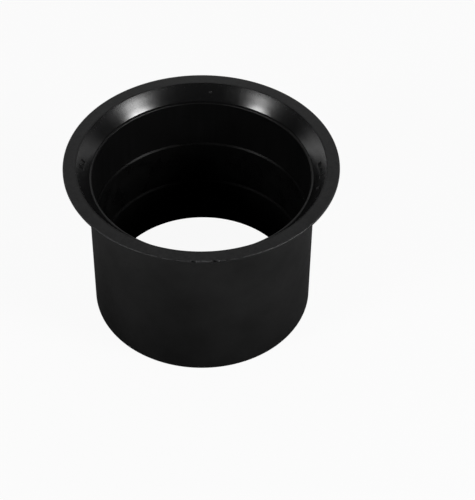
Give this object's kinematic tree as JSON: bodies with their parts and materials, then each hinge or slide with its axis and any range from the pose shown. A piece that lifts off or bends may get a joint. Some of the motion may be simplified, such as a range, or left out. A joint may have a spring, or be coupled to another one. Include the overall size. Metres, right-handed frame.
{
  "type": "toilet flange",
  "caption": "Round sleeve with a flat rim and a polished conical mouth, which joins a toilet pan's outlet to a soil pipe's socket and grips the outlet in stepped rubber rings.",
  "frame": {"origin": "centre of the tube's lower end, on the bore's axis", "axes": "+Z along the bore, from the tube's lower end up to the rim face; +X and +Y square to it, with no preferred direction because every piece is round"},
  "size_m": [0.133, 0.133, 0.0875],
  "materials": {
    "sleeve": "moulded black polypropylene, fine satin grain",
    "ring": "polished black plastic, clear highlights",
    "seal": "black sealing rubber, low sheen"
  },
  "bodies": {
    "root": {"flanged_sleeve": "sleeve", "lead_in_ring": "ring", "upper_grip_seal": "seal", "lower_grip_seal": "seal"}
  },
  "joints": []
}
